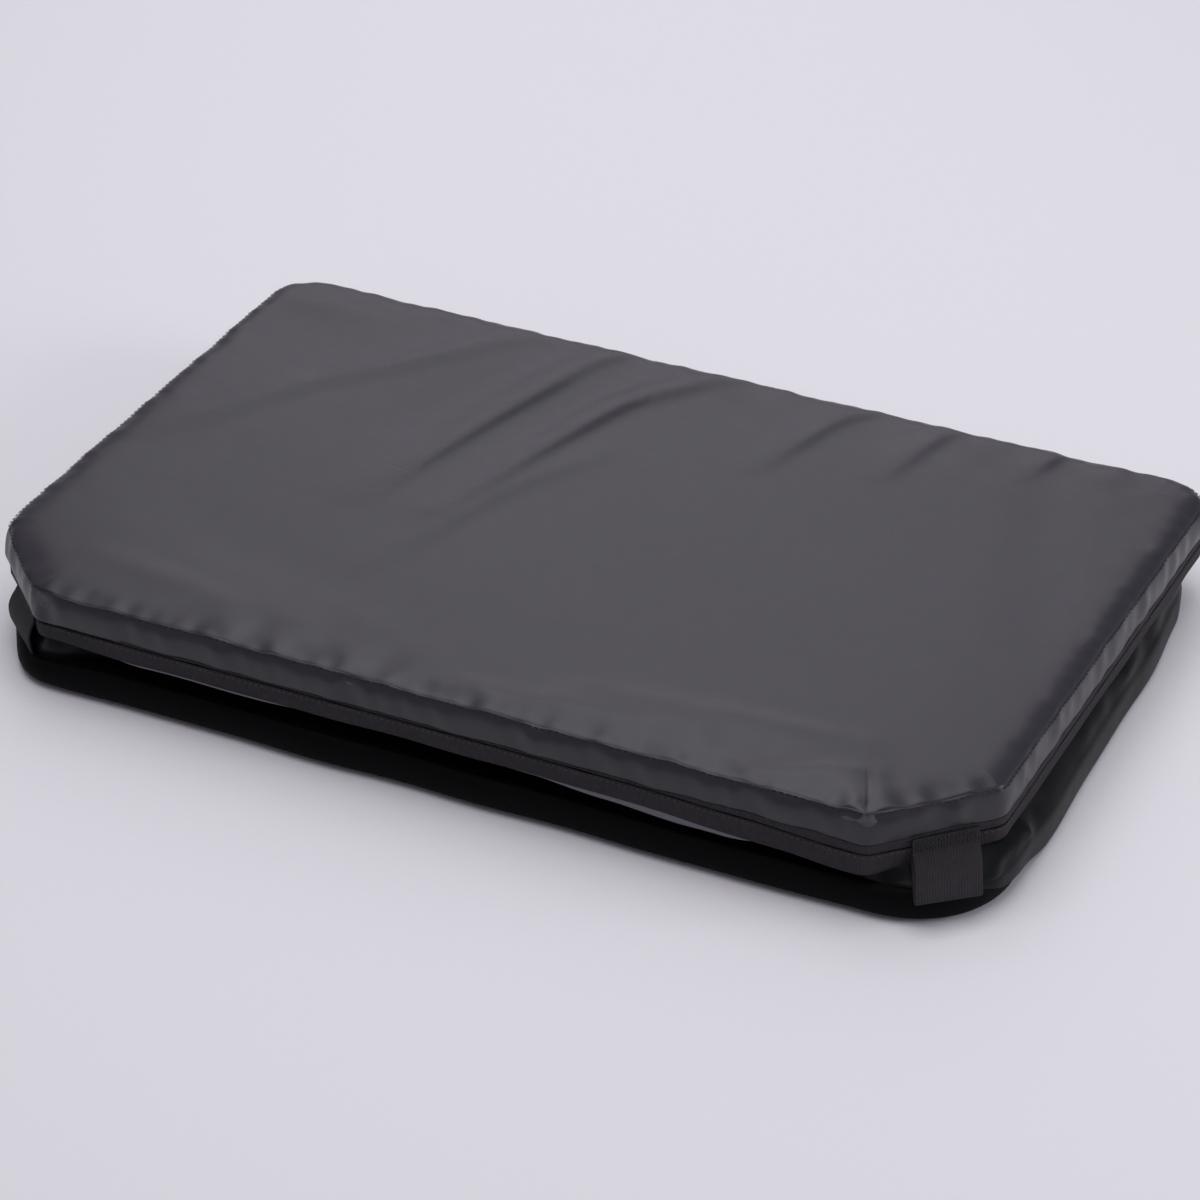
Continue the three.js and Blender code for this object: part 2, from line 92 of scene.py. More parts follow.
class Outline:
    """A convex outline with rounded corners. Rings at any inset share the same stations."""

    MIN_RADIUS = 2.0

    def __init__(self, corners, spacing):
        tips = np.array([c[:2] for c in corners], float)
        self.radius = np.array([c[2] for c in corners], float)
        count = len(tips)
        after = np.roll(tips, -1, axis=0) - tips
        after /= np.linalg.norm(after, axis=1)[:, None]
        before = np.roll(after, 1, axis=0)
        inward_before = np.stack([-before[:, 1], before[:, 0]], axis=1)
        inward_after = np.stack([-after[:, 1], after[:, 0]], axis=1)
        dot = (inward_before * inward_after).sum(axis=1)
        self.tips, self.before, self.inward = tips, before, inward_before
        self.mitre = (inward_before + inward_after) / (1 + dot)[:, None]
        self.turn = np.arccos(np.clip(dot, -1, 1))
        self.start = np.arctan2(-inward_before[:, 1], -inward_before[:, 0])
        corner, arc, edge = [], [], []
        for k in range(count):
            steps = max(4, math.ceil(self.radius[k] * self.turn[k] / spacing))
            for step in range(steps + 1):
                corner.append(k)
                arc.append(step / steps)
                edge.append(0.0)
            self.corner = np.array([k, (k + 1) % count])
            ends = self.arc_point(self.corner, np.zeros(2), np.array([1.0, 0.0]))
            parts = max(2, math.ceil(np.linalg.norm(ends[1] - ends[0]) / spacing))
            for part in range(1, parts):
                corner.append(k)
                arc.append(1.0)
                edge.append(part / parts)
        self.corner, self.arc, self.edge = np.array(corner), np.array(arc), np.array(edge)
        self.next = (self.corner + 1) % count
        self.count = len(corner)
        base = self.ring()
        steps = np.linalg.norm(np.roll(base, -1, axis=0) - base, axis=1)
        self.length = steps.sum()
        self.along = np.concatenate([[0], np.cumsum(steps)[:-1]])
        angle = self.start[self.corner] + self.turn[self.corner] * self.arc
        self.normal = np.stack([np.cos(angle), np.sin(angle)], axis=1)

    def arc_point(self, k, inset, share):
        radius = np.maximum(self.radius[k] - inset, self.MIN_RADIUS)
        setback = radius * np.tan(self.turn[k] / 2)
        tip = self.tips[k] + self.mitre[k] * inset[:, None]
        centre = tip - self.before[k] * setback[:, None] + self.inward[k] * radius[:, None]
        angle = self.start[k] + self.turn[k] * share
        return centre + np.stack([np.cos(angle), np.sin(angle)], axis=1) * radius[:, None]

    def ring(self, inset=0.0):
        """The outline's points at an inset, which may differ from station to station."""
        inset = np.broadcast_to(np.asarray(inset, float), self.corner.shape)
        here = self.arc_point(self.corner, inset, self.arc)
        there = self.arc_point(self.next, inset, np.zeros(self.count))
        return here + (there - here) * self.edge[:, None]

    def station(self, x, y):
        """The station nearest to a place."""
        return int(np.argmin(np.linalg.norm(self.ring() - (x, y), axis=1)))

    def place(self, x, y):
        return self.along[self.station(x, y)]


LID_CORNERS = [
    (-LID_X + CHAMFER_LEG, -LID_Y, CHAMFER_RADIUS),
    (LID_X - CHAMFER_LEG, -LID_Y, CHAMFER_RADIUS),
    (LID_X, -LID_Y + CHAMFER_LEG, CHAMFER_RADIUS),
    (LID_X, LID_Y, BACK_RADIUS),
    (-LID_X, LID_Y, BACK_RADIUS),
    (-LID_X, -LID_Y + CHAMFER_LEG, CHAMFER_RADIUS),
]
BASE_CORNERS = [(x * BASE_X, y * BASE_Y, BASE_RADIUS) for x, y in ((-1, -1), (1, -1), (1, 1), (-1, 1))]
line = Outline(LID_CORNERS, 2.0)
base_line = Outline(BASE_CORNERS, 5.0)


# ---------- shaping functions ----------

def smooth(t):
    t = np.clip(t, 0, 1)
    return t * t * (3 - 2 * t)


def bell(x, centre, width):
    return np.exp(-(((x - centre) / width) ** 2))


def ripple(line, wavelengths, seed):
    """A smooth wave round a closed outline, about 1 high, made of a few wavelengths in mm."""
    draw = np.random.default_rng(seed)
    wave = np.zeros(line.count)
    for wavelength in wavelengths:
        turns = max(1, round(line.length / wavelength))
        wave += np.sin(2 * np.pi * turns * line.along / line.length + draw.uniform(0, 2 * np.pi))
    return wave / math.sqrt(len(wavelengths) / 2)


def around(stops):
    """A smooth quantity round the lid's line, from (x, y, value) stops."""
    places = np.array([line.place(x, y) for x, y, _ in stops])
    values = np.array([value for _, _, value in stops], float)
    order = np.argsort(places)
    places, values = places[order], values[order]
    places = np.concatenate([[places[-1] - line.length], places, [places[0] + line.length]])
    values = np.concatenate([[values[-1]], values, [values[0]]])
    k = np.clip(np.searchsorted(places, line.along, side="right") - 1, 0, len(places) - 2)
    share = (line.along - places[k]) / np.maximum(places[k + 1] - places[k], 1e-6)
    return values[k] + (values[k + 1] - values[k]) * smooth(share)


def smooth_path(stops, count):
    """A Catmull-Rom curve through a few points of any dimension."""
    p = np.array(stops, float)
    p = np.concatenate([[2 * p[0] - p[1]], p, [2 * p[-1] - p[-2]]])
    t = np.linspace(0, len(stops) - 1 - 1e-9, count)
    k = t.astype(int)
    f = (t - k)[:, None]
    a, b, c, d = p[k], p[k + 1], p[k + 2], p[k + 3]
    return 0.5 * (2 * b + (c - a) * f + (2 * a - 5 * b + 4 * c - d) * f**2
                  + (3 * b - a - 3 * c + d) * f**3)


def with_z(ring, z):
    return np.column_stack([ring, np.broadcast_to(z, len(ring))])


# ---------- meshes ----------

def mesh_object(name, points, faces, uvs=None):
    """A smooth-shaded mesh object from points in mm. uvs are per face corner, in metres."""
    mesh = bpy.data.meshes.new(name)
    mesh.from_pydata((np.asarray(points) * MM).tolist(), [], faces)
    if uvs is not None:
        layer = mesh.uv_layers.new(name="strip")
        layer.data.foreach_set("uv", (np.asarray(uvs, np.float32) * MM).ravel())
    mesh.update()
    mesh.shade_smooth()
    obj = bpy.data.objects.new(name, mesh)
    bpy.context.scene.collection.objects.link(obj)
    return obj


def grid(name, rows, closed, tube=False, along=None, across=None, length=None):
    """A mesh through rows of stations. closed joins the last station to the first, tube the last row
    to the first, with its ends filled if it isn't closed. along and across give the UV of each
    station and row in mm, and length is the way round a closed row."""
    rows = [np.asarray(row, float) for row in rows]
    n, m = len(rows[0]), len(rows)
    along = np.arange(n, dtype=float) if along is None else np.asarray(along, float)
    across = np.arange(m, dtype=float) if across is None else np.asarray(across, float)
    u = np.append(along, along[0] + (length or 0) if closed else along[-1])
    v = np.append(across, across[0])
    faces, uvs = [], []
    for i in range(m if tube else m - 1):
        below, above = i * n, ((i + 1) % m) * n
        for j in range(n if closed else n - 1):
            k = (j + 1) % n
            faces.append((below + j, below + k, above + k, above + j))
            uvs += [(u[j], v[i]), (u[j + 1], v[i]), (u[j + 1], v[i + 1]), (u[j], v[i + 1])]
    if tube and not closed:
        for j, turn in ((0, 1), (n - 1, -1)):
            faces.append(tuple(i * n + j for i in range(m))[::turn])
            uvs += [(u[j], v[i]) for i in range(m)][::turn]
    return mesh_object(name, np.concatenate(rows), faces, uvs)


def outward(obj):
    """Turns a closed mesh's faces outward."""
    work = bmesh.new()
    work.from_mesh(obj.data)
    bmesh.ops.remove_doubles(work, verts=work.verts, dist=1e-6)
    bmesh.ops.recalc_face_normals(work, faces=work.faces)
    work.to_mesh(obj.data)
    work.free()
    return obj


def spine_rows(edge_ring, z_of, steps):
    """Rows from a ring in to a spine along the middle. z_of gives the height at points."""
    rows = []
    target = np.column_stack([np.clip(edge_ring[:, 0], -SPINE_HALF, SPINE_HALF),
                              np.zeros(len(edge_ring))])
    for share in np.linspace(0, 1, steps + 1)[1:]:
        ring = edge_ring + (target - edge_ring) * share
        rows.append(with_z(ring, z_of(ring)))
    return rows


def strip(name, profile, stations=None):
    """Sweeps a closed section along the lid's line. The section is a list of (out, z) pairs, each
    a number or an array per station."""
    ring, normal = line.ring(), line.normal
    rows = [with_z(ring + normal * np.broadcast_to(out, line.count)[:, None], z) for out, z in profile]
    steps = [np.linalg.norm(b - a, axis=1).mean() for a, b in zip(rows, rows[1:])]
    across = np.concatenate([[0], np.cumsum(steps)])
    closed = stations is None
    pick = np.arange(line.count) if closed else stations
    along = line.along[pick] if closed else unwrapped(pick)
    return outward(grid(name, [row[pick] for row in rows], closed, True, along, across, line.length))


def unwrapped(stations):
    """Distances along the lid's line that keep growing past its first station."""
    return np.unwrap(line.along[stations] * 2 * np.pi / line.length) * line.length / (2 * np.pi)


def run_of(start, end):
    """The stations from one place to another, going anticlockwise."""
    first, last = line.station(*start), line.station(*end)
    count = (last - first) % line.count
    return (first + np.arange(count + 1)) % line.count


def threads(name, pieces, radius):
    """Short rounded stitches in one mesh, from (start, end) point pairs in mm."""
    sides, levels = 6, [(0.0, 0.35), (0.12, 1.0), (0.88, 1.0), (1.0, 0.35)]
    ring = np.linspace(0, 2 * np.pi, sides, endpoint=False)
    points, faces = [], []
    for start, end in pieces:
        start, end = np.asarray(start, float), np.asarray(end, float)
        axis = end - start
        direction = axis / max(np.linalg.norm(axis), 1e-9)
        helper = np.array([0.0, 0.0, 1.0]) if abs(direction[2]) < 0.9 else np.array([1.0, 0, 0])
        side = np.cross(direction, helper)
        side /= np.linalg.norm(side)
        up = np.cross(side, direction)
        first = len(points)
        for level, (share, width) in enumerate(levels):
            for k, angle in enumerate(ring):
                spoke = side * math.cos(angle) + up * math.sin(angle)
                points.append(start + axis * share + spoke * radius * width)
                if level:
                    b = first + level * sides + k
                    c = first + level * sides + (k + 1) % sides
                    faces.append((b - sides, c - sides, c, b))
        faces.append(tuple(first + k for k in range(sides))[::-1])
        faces.append(tuple(first + (len(levels) - 1) * sides + k for k in range(sides)))
    return mesh_object(name, points, faces)


# ---------- materials ----------

class Material:
    """A Principled material with a short way to add noise, weave and bump."""

    def __init__(self, name, colour, roughness, specular=0.5, metallic=0.0):
        self.material = bpy.data.materials.new(name)
        self.material.use_nodes = True
        self.tree = self.material.node_tree
        self.shader = self.tree.nodes["Principled BSDF"]
        self.colour = (*colour, 1)
        self.shader.inputs["Base Color"].default_value = self.colour
        self.shader.inputs["Roughness"].default_value = roughness
        self.shader.inputs["Specular IOR Level"].default_value = specular
        self.shader.inputs["Metallic"].default_value = metallic
        self.last_normal = None

    def feed(self, socket, value):
        if isinstance(value, bpy.types.NodeSocket):
            self.tree.links.new(value, socket)
        else:
            socket.default_value = value

    def node(self, kind, **inputs):
        node = self.tree.nodes.new(kind)
        for key, value in inputs.items():
            self.feed(node.inputs[key.replace("_", " ")], value)
        return node

    def product(self, a, b):
        node = self.tree.nodes.new("ShaderNodeMath")
        node.operation = "MULTIPLY"
        self.feed(node.inputs[0], a)
        self.feed(node.inputs[1], b)
        return node.outputs[0]

    def place(self, kind="Object"):
        return self.tree.nodes.new("ShaderNodeTexCoord").outputs[kind]

    def noise(self, vector, size, detail):
        """Noise whose blobs are about size millimetres wide."""
        node = self.node("ShaderNodeTexNoise", Vector=vector, Scale=1 / (size * MM), Detail=detail)
        return node.outputs["Fac"]

    def wave(self, vector, size, direction, distortion):
        scale = 2 * math.pi / 20 / (size * MM)
        node = self.node("ShaderNodeTexWave", Vector=vector, Distortion=distortion, Scale=scale)
        node.bands_direction = direction
        return node.outputs["Fac"]

    def bump(self, height, distance, strength=1.0):
        node = self.node("ShaderNodeBump", Height=height, Distance=distance * MM, Strength=strength)
        if self.last_normal is not None:
            self.tree.links.new(self.last_normal, node.inputs["Normal"])
        self.last_normal = node.outputs["Normal"]
        self.tree.links.new(self.last_normal, self.shader.inputs["Normal"])

    def roughness(self, value, low, high):
        node = self.node("ShaderNodeMapRange", Value=value, To_Min=low, To_Max=high)
        self.feed(self.shader.inputs["Roughness"], node.outputs["Result"])

    def tint(self, value, low, high):
        """Multiplies the colour by low to high as value goes from 0 to 1."""
        mix = self.tree.nodes.new("ShaderNodeMix")
        mix.data_type = "RGBA"
        mix.inputs["A"].default_value = tuple(c * low for c in self.colour[:3]) + (1,)
        mix.inputs["B"].default_value = tuple(c * high for c in self.colour[:3]) + (1,)
        self.feed(mix.inputs["Factor"], value)
        self.feed(self.shader.inputs["Base Color"], mix.outputs["Result"])


def uneven(name, colour, roughness, specular=0.5, metallic=0.0, tint=None, wear=None, bumps=()):
    """A material made uneven by noise. tint is (size, detail, low, high), wear is (size, detail,
    less, more) in roughness, and a bump is (size, detail, depth, strength), with sizes in mm."""
    m = Material(name, colour, roughness, specular, metallic)
    at = m.place()
    if tint:
        size, detail, low, high = tint
        m.tint(m.noise(at, size, detail), low, high)
    if wear:
        size, detail, less, more = wear
        m.roughness(m.noise(at, size, detail), roughness - less, roughness + more)
    for size, detail, depth, strength in bumps:
        m.bump(m.noise(at, size, detail), depth, strength)
    return m.material


def coated_cloth(name, colour, roughness):
    return uneven(name, colour, roughness, tint=(60, 2, 0.9, 1.1), wear=(9, 4, 0.05, 0.04),
                  bumps=[(14, 3, 0.12, 0.35), (0.8, 2, 0.02, 0.25)])


def plastic(name, colour, roughness):
    return uneven(name, colour, roughness, wear=(4, 3, 0.06, 0.08), bumps=[(1.2, 2, 0.02, 0.4)])


def metal(name, colour, roughness):
    return uneven(name, colour, roughness, metallic=1.0, wear=(2, 4, 0.08, 0.12),
                  bumps=[(0.6, 2, 0.01, 0.4)])


def woven(name, colour, pitch):
    """A plain weave: threads along and across, with uneven colour."""
    m = Material(name, colour, 0.8, 0.25)
    at = m.place()
    weave = m.product(m.wave(at, pitch, "X", 0.4), m.wave(at, pitch, "Y", 0.4))
    m.tint(m.noise(at, pitch * 9, 4), 0.72, 1.3)
    m.roughness(m.noise(at, pitch * 5, 3), 0.72, 0.88)
    m.bump(weave, 0.1)
    return m.material


def ribbed(name, colour, rib, cross, direction):
    """Webbing or tape: ribs in one direction, broken up by the finer cross threads."""
    depth = 0.25
    m = Material(name, colour, 0.78, 0.3)
    at = m.place("UV")
    ribs = m.wave(at, rib, direction, 0.5)
    fine = m.wave(at, cross, "X" if direction == "Y" else "Y", 0.8)
    m.tint(m.noise(at, rib * 4, 4), 0.65, 1.4)
    m.bump(ribs, depth)
    m.bump(fine, depth * 0.5)
    return m.material


COATED = coated_cloth("coated_cloth", (0.021, 0.0195, 0.026), 0.38)
# hem cloth: the lid's coated cloth with its colour made about six times lighter; the extra lightness is a
# painted highlight along the hem's fold under the zip tape
HEM_PAINTED_HIGHLIGHT = coated_cloth("hem_cloth_painted_highlight", (0.12, 0.112, 0.135), 0.30)
WALL = uneven("wall_fabric", (0.0040, 0.0048, 0.0062), 0.42, 0.12, tint=(30, 3, 0.85, 1.15),
              wear=(12, 3, 0.06, 0.06), bumps=[(20, 2, 0.3, 0.35), (0.8, 2, 0.02, 0.25)])
BASE = uneven("base_fabric", (0.0030, 0.0030, 0.0034), 0.6, 0.06, tint=(40, 3, 0.75, 1.25),
              wear=(10, 3, 0.06, 0.06), bumps=[(18, 3, 0.4, 0.4), (1.0, 2, 0.03, 0.3)])
LINING = woven("lining", (0.020, 0.020, 0.024), 0.7)
TAPE = ribbed("zip_tape", (0.030, 0.027, 0.031), 0.9, 0.5, "X")
WEBBING = ribbed("webbing", (0.021, 0.019, 0.022), 1.6, 0.8, "Y")
COIL = plastic("zip_coil", (0.012, 0.012, 0.014), 0.34)
THREAD = plastic("thread_dark", (0.008, 0.008, 0.009), 0.6)
THREAD_LIGHT = plastic("thread_light", (0.045, 0.043, 0.047), 0.6)
FOAM = uneven("foam", (0.09, 0.09, 0.10), 0.95, 0.1, tint=(3, 4, 0.8, 1.2), bumps=[(1.2, 4, 0.4, 1.0)])
BOARD = plastic("board", (0.014, 0.014, 0.015), 0.5)
WIRE = metal("wire", (0.30, 0.30, 0.32), 0.35)
SLIDER = metal("slider_metal", (0.05, 0.05, 0.055), 0.32)

SLOTS = {
    "coated_cloth": COATED, "wall_fabric": WALL, "base_fabric": BASE, "lining": LINING,
    "zip_tape": TAPE, "webbing": WEBBING, "zip_coil": COIL, "foam": FOAM, "board": BOARD,
    "wire": WIRE, "slider_metal": SLIDER,
}


def dress(obj, body, slot, *replaced, material=None):
    """Gives a new piece its material, slot and body, and hides the CAD nodes it stands for."""
    obj.data.materials.append(material or SLOTS[slot])
    if body:
        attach(obj, body)
    if replaced:
        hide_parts(*replaced)
    return obj


# ---------- quantities that several pieces share, one value per station of the lid's line ----------

X, Y = line.ring().T

# front end of the right chamfer, where the cloth puckers most
PUCKER_AT = line.place(LID_X - CHAMFER_LEG, -LID_Y)

# the seam dips and rises a little, and is drawn in at the front corners
SEAM = SEAM_Z + 0.3 * ripple(line, (90, 55, 34), 3) + 0.15 * ripple(line, (21, 14), 4)
SEAM_DRAWN = 1.8 * bell(line.along, PUCKER_AT, 20)
for corner_x, corner_y in ((-LID_X + CHAMFER_LEG, -LID_Y), (-LID_X, -LID_Y + CHAMFER_LEG)):
    SEAM_DRAWN = SEAM_DRAWN + 2.2 * bell(line.along, line.place(corner_x, corner_y), 14)

ZIP_AT = around([
    (-247, -LID_Y, 41.0), (-180, -LID_Y, 42.1), (40, -LID_Y, 42.2), (110, -LID_Y, 41.8),
    (175, -LID_Y, 40.0), (235, -LID_Y, 37.2), (262, -178, 37.2), (LID_X, -125, 39.0),
    (LID_X, -60, ZIP_LINE), (LID_X, 150, ZIP_LINE), (-LID_X, 160, ZIP_LINE),
    (-LID_X, -110, ZIP_LINE), (-273, -167, 40.0),
])
TAPE_BOTTOM = around([
    (-247, -LID_Y, 31.5), (-180, -LID_Y, 31.8), (60, -LID_Y, 31.4), (130, -LID_Y, 30.2),
    (200, -LID_Y, 27.0), (240, -LID_Y, 25.2), (266, -174, 27.5), (LID_X, -125, 30.5),
    (LID_X, 0, RIM_BOTTOM), (LID_X, 150, RIM_BOTTOM), (-LID_X, 160, RIM_BOTTOM),
    (-LID_X, -110, RIM_BOTTOM), (-273, -167, 30.8),
]) + 0.25 * ripple(line, (120, 70), 8)

# how far the zip band stands out of the lid's line: it is pushed in under the lid at the front left
BAND = BAND_OUT + around([
    (-180, -LID_Y, 0.0), (-245, -LID_Y, -2.6), (-273, -167, -3.4), (-LID_X, -138, -2.6),
    (-LID_X, -120, 0.0), (-LID_X, 150, 0.0), (0, LID_Y, 0.0), (LID_X, 0, 0.0), (0, -LID_Y, 0.0),
])


# ---------- padded lid ----------

# long soft folds of the cover over its padding: stops (x, y), height, width on the two sides
FOLDS = [
    ([(-120, 190), (-155, 150), (-185, 112), (-222, 68), (-250, 20), (-280, -22)], 1.25, 8, 20),
    ([(-60, 198), (-80, 165), (-92, 120), (-106, 68), (-118, 15), (-128, -30)], 1.6, 7, 18),
    ([(8, 192), (-14, 168), (-40, 130), (-56, 80), (-70, 25), (-84, -25)], 1.6, 7, 18),
    ([(-30, 66), (-54, 24), (-70, -22), (-80, -62), (-90, -95)], 0.8, 7, 16),
    ([(-285, 158), (-255, 164), (-215, 158)], 0.6, 9, 18),
    ([(95, 192), (78, 166), (70, 138), (60, 100)], 1.0, 7, 16),
    ([(150, 194), (138, 172), (134, 150), (128, 120)], 0.9, 7, 14),
    ([(215, 194), (206, 178), (203, 158)], 0.6, 5, 10),
    ([(-20, -183), (50, -178), (125, -170)], 0.9, 10, 8),
    ([(70, -156), (150, -148), (220, -141)], 1.1, 9, 18),
    ([(176, -190), (205, -176), (238, -162)], 1.1, 7, 8),
    ([(-235, -150), (-170, -158), (-110, -170)], 0.5, 9, 12),
]
# shallow troughs, where the cover lies slack
TROUGHS = [
    ([(195, 195), (222, 130), (246, 60), (270, -10)], 0.9, 22, 22),
    ([(-165, 165), (-205, 100), (-262, 30)], 0.8, 14, 14),
    ([(-95, 188), (-122, 130), (-150, 60)], 0.7, 16, 16),
    ([(-25, 185), (-60, 130), (-78, 60)], 0.7, 12, 12),
    ([(-240, -80), (-120, -120), (40, -140)], 0.5, 24, 20),
]


def fold_height(points, stops, height, left, right):
    path = smooth_path(stops, 60)
    along = np.diff(path, axis=0, append=path[-1:] * 2 - path[-2:-1])
    along /= np.linalg.norm(along, axis=1)[:, None]
    out = np.zeros(len(points))
    best = np.full(len(points), np.inf)
    for k in range(len(path)):
        offset = points - path[k]
        distance = np.hypot(offset[:, 0], offset[:, 1])
        side = along[k, 0] * offset[:, 1] - along[k, 1] * offset[:, 0]
        width = right + (left - right) * smooth(0.5 + 0.5 * side / np.maximum(distance, 1e-6))
        taper = math.sin(math.pi * (0.12 + 0.76 * k / (len(path) - 1)))
        value = height * taper * np.exp(-((distance / width) ** 2))
        closer = distance < best
        best = np.where(closer, distance, best)
        out = np.where(closer, value, out)
    return out


def panel_relief(points):
    relief = np.zeros(len(points))
    for stops, height, left, right in FOLDS:
        relief += fold_height(points, stops, 2.0 * height, left, right)
    for stops, depth, left, right in TROUGHS:
        relief -= fold_height(points, stops, 1.3 * depth, left, right)
    x, y = points[:, 0], points[:, 1]
    relief += 0.35 * np.sin(x / 41 + 1.3 * np.sin(y / 63)) * np.sin(y / 37 + 0.8)
    return relief


# how quickly the cover climbs from the seam, as a distance in mm
SHOULDER = around([
    (-235, -LID_Y, 9), (-150, -LID_Y, 15), (200, -LID_Y, 15), (236, -LID_Y, 10), (273, -167, 8),
    (LID_X, -135, 6), (LID_X, 150, 5), (240, LID_Y, 6), (-240, LID_Y, 6), (-LID_X, 150, 6),
    (-LID_X, -135, 8), (-273, -167, 9),
])
# how high the cover stands up at once beside the seam
LIP = around([
    (-235, -LID_Y, 0.7), (-180, -LID_Y, 0.5), (225, -LID_Y, 0.5), (273, -167, 1.0), (LID_X, -125, 1.3),
    (LID_X, 150, 1.3), (0, LID_Y, 1.0), (-LID_X, 150, 1.2), (-LID_X, -130, 1.2), (-273, -167, 1.2),
])
# how much the boxing strip rounds over to meet the cover
ROUNDING = around([
    (-235, -LID_Y, 2.1), (-190, -LID_Y, 3.8), (215, -LID_Y, 3.6), (247, -LID_Y, 2.6),
    (273, -167, 2.5), (LID_X, -125, 2.0), (LID_X, 150, 2.0), (0, LID_Y, 2.6), (-LID_X, 150, 2.2),
    (-LID_X, -130, 2.0), (-273, -167, 1.8),
])
# how loosely the cover lies beside the seam
LOOSE = around([
    (-240, -LID_Y, 0.05), (-180, -LID_Y, 0.1), (-120, -LID_Y, 1.0), (60, -LID_Y, 0.6),
    (150, -LID_Y, 0.9), (235, -LID_Y, 0.3), (273, -167, 0.05), (LID_X, 0, 0.1), (LID_X, 150, 0.15),
    (230, LID_Y, 0.5), (60, LID_Y, 0.6), (-120, LID_Y, 0.3), (-LID_X, 100, 0.1), (-LID_X, -100, 0.1),
])
GUSSET_BULGE = 2.3
COVER_RISE = 4.3        # from the seam to the flat of the cover
CROWN = 0.7
EDGE_WAVE = LOOSE * (0.3 * ripple(line, (47, 33, 26), 11) + 0.4 * ripple(line, (130, 88), 13))


def blotches(points):
    """Short soft dents and bulges, as thin cloth makes where it lies loose on its padding."""
    x, y = points[:, 0], points[:, 1]
    one = np.sin(x / 5.2 + 1.1 * np.sin(y / 7.5) + 0.6) * np.sin(y / 6.3 + x / 19 + 0.4)
    two = np.sin((x + 0.7 * y) / 8.3 + 2.0) * np.sin((y - 0.4 * x) / 10.5 + 0.9)
    return 0.2 * one + 0.85 * two


def build_lid_top():
    insets = [0, 0.5, 1.1, 1.8, 2.7, 3.8, 5, 6.4, 8, 10, 12.5, 15.5, 19, 23, 27, 31, 35, 40, 45, 50,
              55, PANEL_INSET]
    drawn = SEAM_DRAWN + ROUNDING - GUSSET_BULGE
    pinch = -1.2 * bell(line.along, PUCKER_AT, 22.0) * np.cos((line.along - PUCKER_AT) / 3.4)
    rows = []
    for inset in insets:
        ring = line.ring(inset + drawn * math.exp(-inset / 14))
        rise = LIP * (1 - math.exp(-inset / 0.9)) + CROWN * float(smooth(inset / 70))
        rise += (COVER_RISE - LIP) * (1 - np.exp(-((inset / SHOULDER) ** 1.4)))
        pucker = EDGE_WAVE * math.exp(-((inset / 16) ** 1.5)) * (1 - math.exp(-inset / 3))
        pucker += LOOSE * blotches(ring) * math.exp(-((inset / 40) ** 2)) * (1 - math.exp(-inset / 5))
        pucker += pinch * math.exp(-inset / 9) * (1 - math.exp(-inset / 1.5))
        z = SEAM + (SEAM_Z - SEAM) * float(smooth(inset / 14)) + rise + pucker
        rows.append(with_z(ring, z + panel_relief(ring) * float(smooth(inset / 9))))

    def inner_height(ring):
        reach = np.abs(ring[:, 1]) / (LID_Y - PANEL_INSET)
        return SEAM_Z + COVER_RISE + CROWN * (0.94 + 0.06 * (1 - reach)) + panel_relief(ring)

    inner = spine_rows(line.ring(PANEL_INSET), inner_height, 44)
    across = insets + [PANEL_INSET + 3 * k for k in range(1, len(inner) + 1)]
    obj = outward(grid("lid_top_panel", rows + inner, True, False, line.along, across, line.length))
    if obj.data.polygons[len(obj.data.polygons) // 2].normal.z < 0:
        obj.data.flip_normals()
    dress(obj, "lid", "coated_cloth", "lid_top")


def gusset_out(share):
    """How far the boxing strip stands out of the lid's line, at a share of its height."""
    bulge = GUSSET_BULGE + 1.4 * share * (1 - share) - ROUNDING * share ** 4
    facets = (0.5 * ripple(line, (70, 47, 33), 21) + 0.35 * ripple(line, (24, 17), 22))
    pleat = -0.8 * bell(line.along, PUCKER_AT, 5.0) + 0.4 * bell(np.abs(line.along - PUCKER_AT), 8, 4)
    for x in (-104, -39, 84, 171):
        place = line.place(x, -LID_Y)
        pleat = pleat + 0.9 * bell(line.along, place, 4) - 0.7 * bell(line.along, place + 7, 4)
    free = np.sin(np.pi * np.clip(share * 0.95 + 0.02, 0, 1))
    return bulge + (facets + pleat) * free - SEAM_DRAWN * share


GUSSET_FOOT = GUSSET_BOTTOM + 0.3 * ripple(line, (110, 60, 37), 24)
GUSSET_FOOT = GUSSET_FOOT - 0.9 * bell(line.along, PUCKER_AT, 22.0)


def build_gusset():
    shares = np.linspace(0, 1, 15)
    height = SEAM - 0.15 - GUSSET_FOOT
    outer = [(gusset_out(s), GUSSET_FOOT + height * s) for s in shares]
    inner = [(gusset_out(s) - 1.0, GUSSET_FOOT + 0.1 + (height - 0.3) * s) for s in shares[::-2]]
    dress(strip("lid_boxing_strip", outer + inner), "lid", "coated_cloth", "lid_gusset")


def at_place(rows_value, place):
    """A per-station quantity read at a distance along the line."""
    wrapped = np.append(line.along, line.length)
    value = np.append(rows_value, rows_value[0])
    return np.interp(np.mod(place, line.length), wrapped, value)


def point_at(place, out, z):
    ring, normal = line.ring(), line.normal
    spot = [at_place(ring[:, k], place) + at_place(normal[:, k], place) * out for k in (0, 1)]
    return np.array([*spot, z])


def build_top_stitches():
    pitch, stitch = 4.0, 2.6
    count = round(line.length / pitch)
    pieces = []
    for place in np.arange(count) * line.length / count:
        z = at_place(SEAM, place) - 0.7
        out = 2.9 - at_place(SEAM_DRAWN + 0.81 * ROUNDING, place)
        pieces.append((point_at(place, out, z), point_at(place + stitch, out, z)))
    dress(threads("lid_seam_stitches", pieces, 0.3), "lid", "coated_cloth", material=THREAD)


# ---------- zip band ----------

FLARE = 1.0 * np.clip((RIM_BOTTOM - TAPE_BOTTOM) / 6, 0, 1)


